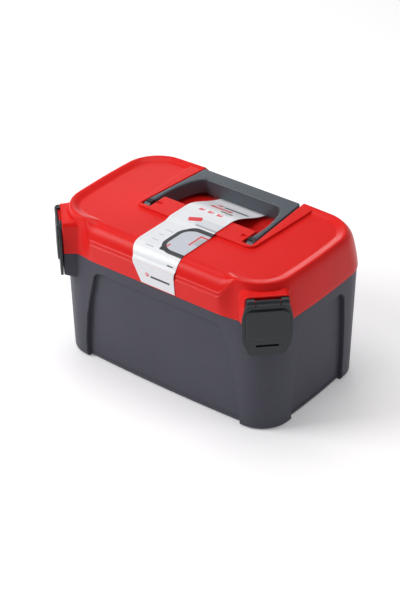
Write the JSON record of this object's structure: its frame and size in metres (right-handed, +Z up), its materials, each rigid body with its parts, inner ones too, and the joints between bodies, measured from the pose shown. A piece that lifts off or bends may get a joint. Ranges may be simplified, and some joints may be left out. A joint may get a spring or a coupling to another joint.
{
  "type": "toolbox with tray",
  "caption": "Plastic toolbox: tapered grey body, domed red lid with a fold-down carry handle and corner latches, and a lift-out compartment tray inside.",
  "frame": {"origin": "centre of the footprint on the surface it stands on", "axes": "+X along the length to the right, -Y towards the front with the latches, +Y towards the rear hinges, +Z up"},
  "size_m": [0.3998, 0.2654, 0.2282],
  "materials": {
    "body_grey": "moulded, lightly textured",
    "lid_red": "satin moulded",
    "handle_slate": "moulded, lightly textured",
    "latch_charcoal": "moulded, fine texture",
    "pin_steel": "drawn rod",
    "tray_grey": "moulded, lightly textured",
    "tray_handle_red": "satin moulded",
    "card_white": "coated card"
  },
  "bodies": {
    "body": {"body_shell": "body_grey", "hinge_pin_left": "pin_steel", "hinge_pin_right": "pin_steel"},
    "lid": {"lid_shell": "lid_red", "card_sleeve": "card_white", "latch_pin_left": "pin_steel", "latch_pin_right": "pin_steel"},
    "handle": {"handle": "handle_slate"},
    "latch_left": {"latch_left": "latch_charcoal"},
    "latch_right": {"latch_right": "latch_charcoal"},
    "tray": {"tray": "tray_grey", "tray_rib": "tray_grey", "tray_wall_left": "tray_grey", "tray_wall_right": "tray_grey", "tray_handle": "tray_handle_red", "tray_divider_left": "tray_grey", "tray_divider_right": "tray_grey"}
  },
  "joints": [
    {"name": "lid_hinge", "type": "hinge", "parent": "body", "child": "lid", "pos_m": [0, 0.12624, 0.169], "axis": [-1, 0, 0], "range_deg": [0, 100]},
    {"name": "handle_swing", "type": "hinge", "parent": "lid", "child": "handle", "pos_m": [0, -0.02, 0.21725], "axis": [1, 0, 0], "range_deg": [0, 90]},
    {"name": "latch_left_hinge", "type": "hinge", "parent": "lid", "child": "latch_left", "pos_m": [-0.17467, -0.10749, 0.209], "axis": [-0.7071, 0.7071, 0], "range_deg": [0, 110]},
    {"name": "latch_right_hinge", "type": "hinge", "parent": "lid", "child": "latch_right", "pos_m": [0.17467, -0.10749, 0.209], "axis": [-0.7071, -0.7071, 0], "range_deg": [0, 110]},
    {"name": "tray_lift", "type": "slide", "parent": "body", "child": "tray", "axis": [0, 0, 1], "range_m": [0, 0.12]}
  ],
  "couplings": [
    {"joint": "tray_lift", "follows": "lid_hinge", "m_per_rad": 0.068754}
  ]
}
